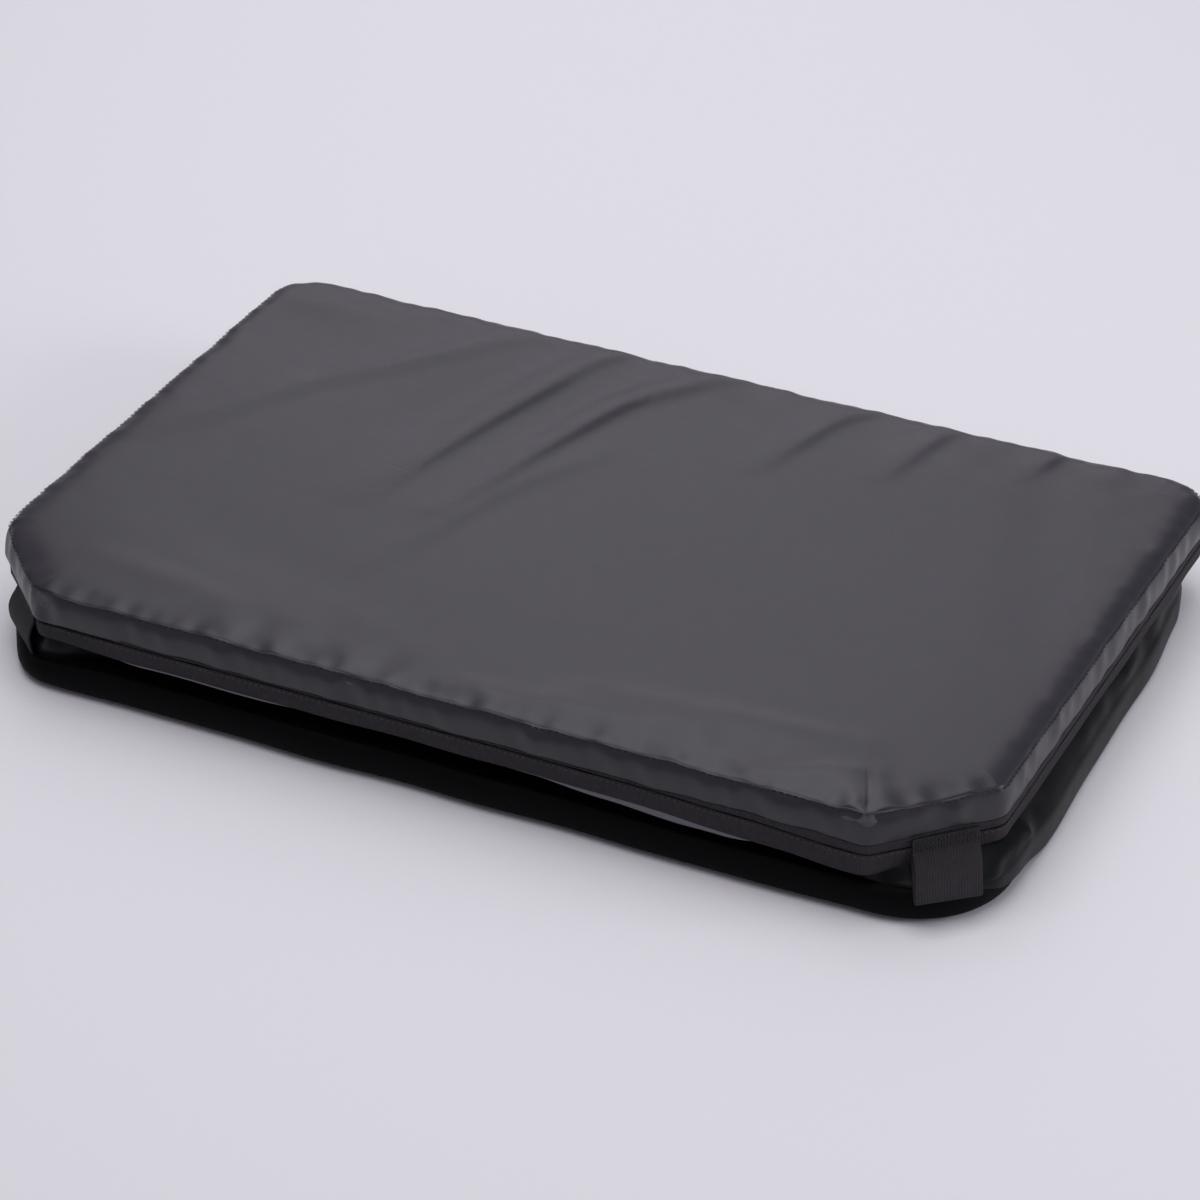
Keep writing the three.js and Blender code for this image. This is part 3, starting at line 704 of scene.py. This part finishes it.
ZIP_RUN = run_of((-HINGE_HALF - 0.5, LID_Y), (HINGE_HALF + 0.5, LID_Y))
ZIP_START = line.along[ZIP_RUN[0]]
ZIP_LENGTH = (line.along[ZIP_RUN[-1]] - ZIP_START) % line.length


def build_tapes():
    height = ZIP_AT - 0.35 - TAPE_BOTTOM
    shares = np.linspace(0, 1, 7)
    wave = 0.2 * ripple(line, (80, 47, 29), 31)
    outer = [(BAND + wave * s + FLARE * (1 - s), TAPE_BOTTOM + height * s) for s in shares]
    inner = [(out - 0.9, z) for out, z in outer[::-2]]
    dress(strip("zip_tape_lower_band", outer + inner, ZIP_RUN), "rim", "zip_tape", "zip_tape_lower")

    foot = ZIP_AT + 0.45
    height = GUSSET_FOOT + 0.6 - foot
    outer = [(BAND - 0.2 + 0.3 * s, foot + height * s) for s in (0, 0.25, 0.5, 0.75, 1)]
    inner = [(out - 0.9, z) for out, z in outer[::-2]]
    dress(strip("zip_tape_upper_band", outer + inner, ZIP_RUN), "lid", "zip_tape", "zip_tape_upper")


def build_coils():
    """The coils' teeth as short rungs just inside the tapes, each on a core cord."""
    for side, sign, body in (("lower", -1, "rim"), ("upper", 1, "lid")):
        pieces = []
        for place in ZIP_START + np.arange(1, ZIP_LENGTH - 1, 2.2):
            z = at_place(ZIP_AT + sign * 0.7, place)
            out = at_place(BAND, place) - 1.5
            pieces.append((point_at(place, out, z), point_at(place + 0.5, out, z + sign * 1.9)))
            pieces.append((point_at(place, out - 0.9, z), point_at(place, out, z)))
        dress(threads(f"zip_teeth_{side}", pieces, 0.42), body, "zip_coil", f"zip_coil_{side}")


def build_tape_stitches():
    """The row of small chevrons where the coil is sewn to the lower tape."""
    pieces = []
    for place in ZIP_START + np.arange(4, ZIP_LENGTH - 4, 3.5):
        z, face = at_place(ZIP_AT, place) - 1.1, at_place(BAND, place)
        for side in (-1, 1):
            pieces.append((point_at(place, face + 0.25, z),
                           point_at(place + side * 0.95, face + 0.2, z - 1.25)))
    dress(threads("zip_tape_stitches", pieces, 0.26), "rim", "zip_tape", material=THREAD_LIGHT)


def build_hinge():
    """One web of cloth, sewn to the rim below and to the lid above, that turns over at the hinge."""
    low, high = RIM_BOTTOM, GUSSET_FOOT + 0.4
    middle, bend = ZIP_LINE + 0.6, 1.4
    heights = [low + (middle - bend - low) * s for s in (0, 0.25, 0.5, 0.75)]
    heights += [middle + d for d in np.linspace(-bend, bend, 13)]
    heights += [high - 0.6, high]
    wave = 0.25 * ripple(line, (90, 57), 41)
    outer = [(BAND_OUT + wave * bell(z, low + 3, 4), z) for z in heights]
    inner = [(BAND_OUT - 0.8, z) for z in heights[::-1]]
    obj = strip("hinge_web", outer + inner, run_of((HINGE_HALF, LID_Y), (-HINGE_HALF, LID_Y)))
    dress(obj, None, "wall_fabric", "hinge_strip_lower", "hinge_strip_upper")
    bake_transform(obj)


# ---------- base ----------

def corner_sink(x, y):
    """How far the base's edge is squashed down at the front left corner."""
    return 6.0 * bell(np.hypot(x + 275, y + 172), 0, 48)


def base_shift(points):
    """The soft base isn't square to the lid: it stands out at the front right corner, draws in
    along the right side towards the back, and its front left corner is pushed well in."""
    x, y, z = points[:, 0], points[:, 1], points[:, 2]
    moved = np.array(points, float)
    right = smooth((x - 120) / 180)
    moved[:, 0] += right * (3.5 - 6.5 * smooth((y + 150) / 330) - 5.0 * smooth((y - 60) / 130))
    moved[:, 0] -= right * 4.0 * smooth(z / BASE_TOP) * smooth((y + 90) / 120)
    left = bell(np.hypot(x + 290, y + 165), 0, 40)
    moved[:, :2] += left[:, None] * (14.0, 7.0)
    moved[:, 2] -= corner_sink(x, y) * np.clip(z / BASE_TOP, 0, 1)
    return moved


BASE_WAVE = 0.5 * ripple(base_line, (210, 130, 90), 51)


def base_ring(inset, z):
    return base_shift(with_z(base_line.ring(inset - BASE_WAVE), z))


def base_piece(name, section, slot, replaced, tube=False):
    """A soft piece of the base from (inset, z) pairs: a closed band, or a slab with both faces
    filled in to the middle."""
    rows = [base_ring(inset, z) for inset, z in section]
    if not tube:
        under, over = (spine_rows(rows[end][:, :2], lambda ring: np.full(len(ring), section[end][1]), 6)
                       for end in (0, -1))
        rows = under[::-1] + rows + over
    obj = grid(name, rows, True, tube, base_line.along, range(len(rows)), base_line.length)
    dress(outward(obj), "base", slot, replaced)


def build_base():
    outer = [(22, 0.0), (14, 0.0), (9, 0.1), (5.6, 0.7), (3.2, 1.8), (1.6, 3.4), (0.6, 5.6), (0.1, 8),
             (0, 10.5), (0.4, 13), (1.1, 15), (2.2, 16.8), (3.4, 18), (4.4, 18.8), (5.2, BASE_TOP)]
    inner = [(6.0, 18.7), (6.0, 17.6), (2.8, 14), (2.0, 10), (2.8, 5.6), (5.6, 1.9), (22, 1.7)]
    base_piece("base_tray", outer + inner, "base_fabric", "base_shell")
    low, high = node_heights("base_foam")
    base_piece("base_padding", [(7, low), (4, low + 2), (3.2, low + 4), (3.6, high - 1), (5, high)],
               "foam", "base_foam")
    low, high = node_heights("base_board")
    base_piece("base_stiffener", [(5, low), (4.6, low + 0.4), (4.6, high - 0.4), (5, high)],
               "board", "base_board")
    low, high = node_heights("base_lining")
    base_piece("base_lining_panel", [(5.4, low), (5.0, low + 0.5), (5.4, high)], "lining", "base_lining")
    low, high = node_heights("base_binding")
    section = [(8.2, low), (10.8, low), (11.2, low + 0.8), (10.9, high), (8.4, high), (7.9, low + 0.8)]
    base_piece("base_edge_binding", section, "webbing", "base_binding", tube=True)


# ---------- folded walls ----------

def reach_to_base(inset):
    """How far out of each lid station the base's outline is, straight out along the normal."""
    start = base_ring(inset, 0.0)[:, :2]
    edge = np.roll(start, -1, axis=0) - start
    normal = line.normal
    origin = line.ring() - 60 * normal
    away = start[None] - origin[:, None]
    turn = normal[:, None, 0] * edge[None, :, 1] - normal[:, None, 1] * edge[None, :, 0]
    turn = np.where(np.abs(turn) < 1e-9, 1e-9, turn)
    reach = (away[..., 0] * edge[None, :, 1] - away[..., 1] * edge[None, :, 0]) / turn
    share = (away[..., 0] * normal[:, None, 1] - away[..., 1] * normal[:, None, 0]) / turn
    crossing = (reach > 0) & (share >= 0) & (share <= 1)
    return np.where(crossing, reach, np.inf).min(axis=1) - 60


LAYERS = 8
WALL_OUTER = 11         # how far in the outer and the inner folds lie
WALL_INNER = 30
WALL_LOW = BASE_TOP - 0.4
WALL_HIGH = RIM_BOTTOM + 0.2
CORNER_REACH = 44       # where the corner pieces of the wall end, from the outline's tips


def unsmooth(share):
    """The inverse of smooth(), so that pleats are evenly tall once the walls are raised."""
    return 0.5 - np.sin(np.arcsin(1 - 2 * share) / 3)


def wall_rows():
    base_out, base_edge = reach_to_base(6.0), reach_to_base(0.0)
    corner = smooth((base_out - 1.5) / 8)
    low, high = WALL_LOW - corner_sink(X, Y), WALL_HIGH
    # The topmost fold hangs down to the base as a skirt and hides the others. Along the front it is
    # drawn well in.
    front = around([
        (-273, -167, 0.0), (-240, -LID_Y, 0.2), (-212, -LID_Y, 1.0), (205, -LID_Y, 1.0),
        (240, -LID_Y, 0.1), (273, -167, 0.0), (LID_X, 0, 0.0), (0, LID_Y, 0.0), (-LID_X, 0, 0.0),
    ])
    # where that skirt goes over the base's edge, along the right side
    elsewhere = [(200, LID_Y, 0.0), (0, LID_Y, 0.0), (-LID_X, 0, 0.0), (0, -LID_Y, 0.0)]
    drape = around([
        (225, -LID_Y, 0.0), (272, -168, 0.2), (286, -154, 0.7), (294, -146, 1.0), (LID_X, 165, 1.0),
        (275, LID_Y, 0.6), *elsewhere,
    ])
    # how far down the outside it hangs there
    drop = around([
        (250, -190, 0.0), (286, -154, 0.25), (LID_X, -132, 0.65), (LID_X, -95, 1.0), (LID_X, 165, 1.0),
        (275, LID_Y, 0.5), *elsewhere,
    ])
    tuck = np.minimum(base_edge + 4, 0)     # where the base is drawn in, the folds are too
    stops = [(base_out, low)]
    for layer in range(1, LAYERS):
        z = low + (high - low) * unsmooth(layer / LAYERS)
        slope = base_out + (0.5 - base_out) * (z - low) / (high - low)
        loose = 1.8 * ripple(line, (150, 83, 47), 60 + layer) + 0.8 * ripple(line, (29, 19), 80 + layer)
        if layer % 2:
            straight, cornered = tuck - WALL_INNER - 6 * front - loose, slope - 26 + loose
        else:
            straight, cornered = tuck - WALL_OUTER - 8 * front - loose, slope - 9 + 0.6 * loose
        out = straight * (1 - corner) + corner * cornered
        stops.append((out, z + 0.2 * ripple(line, (60, 37), 90 + layer)))
    fold_at = line.along - line.place(LID_X, -122)
    pleats = 1.2 * ripple(line, (150, 97, 61), 71) + 0.35 * ripple(line, (44, 31), 72)
    pleats = pleats + 2.6 * np.exp(-np.abs(fold_at) / 6) * (1 + 0.5 * np.sign(fold_at))
    hem = np.maximum(base_out + 0.5, -6) + 0.3 * pleats
    hem = hem + (-15 - hem) * front
    hem_low = low + 1.0 + (1.6 - low - 1.0) * drop
    under = BAND - BAND_OUT
    # the skirt as (out, z) where it is tucked, then where it is draped
    skirt = [
        (hem - 1.6, low + 0.6, base_edge - 3.5, low + 1.9),
        (hem - 0.7, low + 0.7, base_edge + 0.9, low - 3 * drop),
        (hem, hem_low, base_edge + 1.5, hem_low),
        (hem, low + 1.8, base_edge + 2.0, low + 1 - 4.5 * drop),
        (0.75 * hem + 0.3 * pleats, low + 4.0, base_edge - 0.3 + 0.4 * pleats, low + 1.9),
        (0.4 * hem + 0.8 * pleats - 4 * front, low + 8.5, 0.5 * base_edge + pleats, low + 7.0),
        (under - 2 * front - 1.8, high + 0.2, under - 2 * front - 2.5, high + 0.2),
        (under - 1.4, high + 1.6, under - 1.4, high + 1.6),
    ]
    stops += [(out + (draped_out - out) * drape, z + (draped_z - z) * drape)
              for out, z, draped_out, draped_z in skirt]
    table = np.array([np.column_stack(np.broadcast_arrays(out, z)) for out, z in stops])
    fine = smooth_path(table.reshape(len(stops), -1), (len(stops) - 1) * 5 + 1)
    rows = []
    for out, z in fine.reshape(len(fine), line.count, 2).swapaxes(1, 2):
        inside, outside = line.ring(np.maximum(-out, 0)), line.ring() + line.normal * out[:, None]
        rows.append(with_z(np.where((out < 0)[:, None], inside, outside), z))
    return rows


def build_walls():
    rows = wall_rows()
    steps = [np.linalg.norm(b - a, axis=1).mean() for a, b in zip(rows, rows[1:])]
    across = np.concatenate([[0], np.cumsum(steps)])
    front_end = LID_X - CHAMFER_LEG - CORNER_REACH
    side_front = -LID_Y + CHAMFER_LEG + CORNER_REACH
    side_back = LID_Y - CORNER_REACH
    back_end = LID_X - CORNER_REACH
    places = [(-front_end, -LID_Y), (front_end, -LID_Y), (LID_X, side_front), (LID_X, side_back),
              (back_end, LID_Y), (-back_end, LID_Y), (-LID_X, side_back), (-LID_X, side_front)]
    names = ["front", "corner_front_right", "right", "corner_back_right", "back", "corner_back_left",
             "left", "corner_front_left"]
    for name, start, end in zip(names, places, places[1:] + places[:1]):
        run = run_of(start, end)
        picks = run[np.unique(np.append(np.arange(0, len(run), 2), len(run) - 1))]
        cloth = [row[picks] for row in rows]
        obj = grid(f"wall_{name}_cloth", cloth, False, False, unwrapped(picks), across)
        dress(obj, None, "wall_fabric", f"wall_{name}")
        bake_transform(obj)


# ---------- rim ----------

def build_rim():
    hem_low, hem_high = node_heights("rim_hem")
    under = BAND - BAND_OUT
    # the hem's fold hangs a little below the tape along the front, and there its lighter cloth shows as a
    # painted highlight
    show = around([
        (-215, -LID_Y, 0.0), (-180, -LID_Y, 1.2), (-110, -LID_Y, 1.3), (-70, -LID_Y, 0.4),
        (20, -LID_Y, 0.4), (60, -LID_Y, 0.9), (100, -LID_Y, 2.6), (135, -LID_Y, 3.6),
        (165, -LID_Y, 2.2), (192, -LID_Y, 0.4), (205, -LID_Y, 0.0), (273, -167, 0.0),
        (LID_X, 0, 0.0), (0, LID_Y, 0.0), (-LID_X, 0, 0.0),
    ])
    lowest = np.minimum(TAPE_BOTTOM + 0.5 - 1.2 * show, hem_low + 0.5)
    face = BAND - 1.1 + FLARE + 1.3 * np.minimum(show, 1.2)
    section = [(face, lowest + 0.25), (face - 0.5, lowest - 0.1), (face - 1.4, lowest + 0.1),
               (under - 3.5, hem_low + 0.4), (under - 6.8, hem_low + 0.6), (under - 7.2, hem_low + 1.1),
               (under - 6.6, hem_high + 0.1), (under - 3.5, hem_high),
               (BAND - 1.6 + 0.6 * FLARE, hem_high - 0.1),
               (face - 0.3 - 0.7 * np.minimum(show, 1), TAPE_BOTTOM + 0.3)]
    # the hem takes the lighter copy of the coated cloth, whose colour is a painted highlight
    dress(strip("rim_hem_cloth", section), "rim", "wall_fabric", "rim_hem", material=HEM_PAINTED_HIGHLIGHT)
    wave = 0.3 * ripple(line, (70, 41), 101)
    outer = [(-8.1 + wave * bell(z, 35, 4), z) for z in np.linspace(*node_heights("rim_facing"), 6)]
    inner = [(out - 0.9, z) for out, z in outer[::-1]]
    dress(strip("rim_facing_cloth", outer + inner), "rim", "lining", "rim_facing")
    tab_low, tab_high = node_heights("zip_end_tab_left")
    heights = np.linspace(tab_low - 0.2, tab_high + 0.1, 5)
    outer = [(BAND_OUT + 1.35 + 0.25 * math.sin(math.pi * k / 4), heights[k]) for k in range(5)]
    inner = [(BAND_OUT + 0.35, z) for z in heights[::-2]]
    for side, sign in (("left", -1), ("right", 1)):
        ends = [(sign * (HINGE_HALF + 0.6), LID_Y), (sign * (HINGE_HALF + 14), LID_Y)]
        cover = strip(f"zip_end_cover_{side}", outer + inner, run_of(*ends[::-sign]))
        dress(cover, "rim", "webbing", f"zip_end_tab_{side}")


# ---------- underside of the lid ----------

def build_lid_lining():
    low, high = node_heights("lid_lining")
    rows = [with_z(line.ring(inset), z) for inset, z in
            [(1.2, high), (0.7, (low + high) / 2), (1.2, low), (6, low - 0.1), (14, low)]]

    def sag(ring):
        return low + 0.25 * np.sin(ring[:, 0] / 27 + np.sin(ring[:, 1] / 39)) * np.sin(ring[:, 1] / 31)

    rows += [with_z(line.ring(inset), sag(line.ring(inset))) for inset in (24, 34, 46, PANEL_INSET)]
    rows += spine_rows(line.ring(PANEL_INSET), sag, 14)
    obj = grid("lid_lining_panel", rows, True, False, line.along, range(len(rows)), line.length)
    outward(obj)
    if obj.data.polygons[-1].normal.z > 0:
        obj.data.flip_normals()
    dress(obj, "lid", "lining", "lid_lining")
    low, high = node_heights("lid_binding")
    out = node_box("lid_binding")[1].x - LID_X
    section = [(out, high), (out + 0.3, low + 0.4), (out - 0.3, low), (out - 2.7, low),
               (out - 3.2, low + 0.5), (out - 3, high)]
    dress(strip("lid_binding_tape", section), "lid", "webbing", "lid_binding")


# ---------- webbing loops ----------

CHAMFER_DIST = (LID_X + LID_Y - CHAMFER_LEG) / math.sqrt(2)
BAND_FACE = CHAMFER_DIST + BAND_OUT + 0.3
WEB_WIDTH = 38
WEB_THICK = 1.8
# For each loop: how far it is sewn off its corner's middle, towards the right, and how far the patch
# is set into the band; how far its lower end leans along the corner, turns out towards its far edge
# and tilts up; and its line, as (out of the band's face, height).
LOOPS = {
    "right": (5.0, 0.0, 6.0, 0.0, 0.06, [
        (1.3, 36.4), (1.8, 34.6), (5.8, 31.6), (12, 27.6), (17.4, 22.8), (20.9, 18.8), (21.6, 16.9),
        (20.2, 16.6), (18.0, 19.4), (14, 23.2), (8.0, 27.4), (3.2, 31.0), (1.4, 33.6)]),
    "left": (9.0, 3.4, 0.0, 0.10, 0.11, [
        (-2.6, 37.0), (-1.2, 34.4), (1.2, 30.0), (2.6, 24.5), (2.0, 18.0), (0.2, 12.6), (-1.9, 10.2),
        (-4.2, 12.4), (-6.4, 17.4), (-6.9, 21.5), (-5.4, 28), (-3.4, 33.5)]),
}


def chamfer_frame(side):
    """Normal, along and the place of the loop's middle, for a front corner."""
    sign = 1 if side == "right" else -1
    normal = np.array([sign, -1.0, 0.0]) / math.sqrt(2)
    along = np.cross(normal, (0.0, 0.0, 1.0))
    middle = np.array([sign * (LID_X - CHAMFER_LEG / 2), -LID_Y + CHAMFER_LEG / 2, 0.0])
    return normal, along, middle @ along - LOOPS[side][0]


def ribbon_mesh(name, centre_line, side, thick, lean=0.0, turn=0.0, tilt=0.0):
    """Flat webbing along a line of (out, z), with rounded edges and its section across the line."""
    normal, along, middle = chamfer_frame(side)
    path = smooth_path(centre_line, 72)
    step = np.gradient(path, axis=0)
    step /= np.linalg.norm(step, axis=1)[:, None]
    face = np.stack([-step[:, 1], step[:, 0]], axis=1)
    reach = np.concatenate([[0], np.cumsum(np.linalg.norm(np.diff(path, axis=0), axis=1))])
    down = smooth((path[:, 1].max() - path[:, 1]) / np.ptp(path[:, 1]))
    half = WEB_WIDTH / 2
    edge = [(half, 0.0), (half - 0.35, 0.36), (half - 1.2, 0.5), (half / 3, 0.5)]
    upper = [(-place, lift) for place, lift in edge] + edge[:0:-1]
    section = upper + [(half, 0.0)] + [(place, -lift) for place, lift in upper[:0:-1]]
    rows, across = [], []
    for place, lift in section:
        out = BAND_FACE + path[:, 0] + face[:, 0] * lift * thick + turn * place * (0.4 + 0.6 * down)
        z = path[:, 1] + face[:, 1] * lift * thick + tilt * place * down
        spot = out[:, None] * normal + (middle + place + lean * down)[:, None] * along
        spot[:, 2] = z
        rows.append(spot)
        across.append(place if lift >= 0 else place + 2 * WEB_WIDTH)
    return outward(grid(name, rows, False, True, reach, across))


def build_loops():
    for side, (_, set_in, lean, turn, tilt, centre_line) in LOOPS.items():
        normal, along, middle = chamfer_frame(side)
        loop = ribbon_mesh(f"loop_webbing_{side}", centre_line, side, WEB_THICK, lean, turn, tilt)
        dress(loop, None, "webbing", f"loop_{side}")
        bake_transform(loop)
        patch_line = [(1.2 - set_in, 43.0), (1.3 - set_in, 41.6), (1.4 - set_in, 39.4),
                      (1.4 - set_in, 37.2), (1.4 - set_in, 35.6)]
        patch = ribbon_mesh(f"loop_patch_{side}", patch_line, side, 1.2)
        dress(patch, "lid", "webbing", f"loop_root_{side}")
        rows = [[(place, z), (place + 1.6, z)] for z in (41.6, 40.2, 36.8)
                for place in np.arange(-15.5, 15.5, 2.3)]
        sides = [[(place, z), (place, z + 1.5)] for place in (-16.5, 16.5) for z in np.arange(37, 41, 2.2)]
        face = normal * (BAND_FACE + 2.1 - set_in)
        pieces = [[face + along * (middle + place) + (0, 0, z) for place, z in piece]
                  for piece in rows + sides]
        dress(threads(f"loop_stitches_{side}", pieces, 0.3), "lid", "webbing", material=THREAD)


# ---------- CAD parts that keep their shape ----------

def finish_cad_parts():
    kept = {
        "lid_foam": "foam", "lid_board": "board", "rim_wire": "wire",
        "zip_slider": "slider_metal", "zip_pull": "slider_metal",
    }
    for name, slot in kept.items():
        obj = NODES[name]
        obj.data.materials.clear()
        obj.data.materials.append(SLOTS[slot])
    for name, width in (("zip_slider", 0.3), ("zip_pull", 0.25)):
        bevel = NODES[name].modifiers.new("soft_edges", "BEVEL")
        bevel.width = width * MM
        bevel.segments = 3
        bevel.limit_method = "ANGLE"


# ---------- stage, light and camera ----------

def build_stage():
    far, level = 6000, -0.5
    corners = [(-far, -far, level), (far, -far, level), (far, far, level), (-far, far, level)]
    floor = mesh_object("floor", corners, [(0, 1, 2, 3)])
    floor.data.materials.append(uneven("floor", (0.86, 0.86, 0.88), 0.7, 0.2, tint=(900, 2, 0.98, 1.0)))


def area_light(name, place, target, size, power, colour):
    light = bpy.data.lights.new(name, "AREA")
    light.shape = "RECTANGLE"
    light.size, light.size_y = size
    light.energy = power
    light.color = colour
    obj = bpy.data.objects.new(name, light)
    obj.location = place
    obj.rotation_mode = "QUATERNION"
    obj.rotation_quaternion = (Vector(target) - Vector(place)).to_track_quat("-Z", "Y")
    bpy.context.scene.collection.objects.link(obj)


def build_light():
    world = bpy.data.worlds.new("studio")
    world.use_nodes = True
    background = world.node_tree.nodes["Background"]
    background.inputs["Color"].default_value = (0.95, 0.92, 1.05, 1)
    background.inputs["Strength"].default_value = 0.22
    bpy.context.scene.world = world
    area_light("overhead", (-0.1, -0.15, 2.3), (0, 0, 0), (2.4, 2.0), 30, (0.99, 0.97, 1.0))
    area_light("back_panel", (-0.68, 1.6, 0.9), (-0.05, 0.0, 0.05), (1.4, 1.0), 4.1, (0.96, 0.93, 1.0))
    area_light("crown", (-0.75, 1.2, 1.95), (0, 0, 0.05), (1.3, 0.7), 5.2, (0.97, 0.95, 1.0))
    area_light("right", (2.4, 0.5, 0.9), (0.3, 0, 0.05), (1.4, 1.0), 20, (0.97, 0.94, 1.0))
    scene = bpy.context.scene
    scene.view_settings.view_transform = "Standard"
    scene.view_settings.look = "None"


CAMERA_AIM = (0.0349, -0.0652, 0.06)
CAMERA_DISTANCE = 2.371
CAMERA_TURN = 25.36
CAMERA_DOWN = 31.95
CAMERA_ROLL = 0.33
CAMERA_LENS = 129.66


def build_camera():
    data = bpy.data.cameras.new("camera")
    data.lens = CAMERA_LENS
    data.sensor_width = 36
    camera = bpy.data.objects.new("camera", data)
    turn, down = math.radians(CAMERA_TURN), math.radians(CAMERA_DOWN)
    back = Vector((math.sin(turn) * math.cos(down), -math.cos(turn) * math.cos(down), math.sin(down)))
    camera.matrix_world = (
        Matrix.Translation(Vector(CAMERA_AIM) + back * CAMERA_DISTANCE)
        @ Matrix.Rotation(turn, 4, "Z")
        @ Matrix.Rotation(math.pi / 2 - down, 4, "X")
        @ Matrix.Rotation(math.radians(CAMERA_ROLL), 4, "Z")
    )
    bpy.context.scene.collection.objects.link(camera)
    bpy.context.scene.camera = camera


build_lid_top()
build_gusset()
build_top_stitches()
build_tapes()
build_coils()
build_tape_stitches()
build_hinge()
build_base()
build_walls()
build_rim()
build_lid_lining()
build_loops()
finish_cad_parts()
build_stage()
build_light()
build_camera()
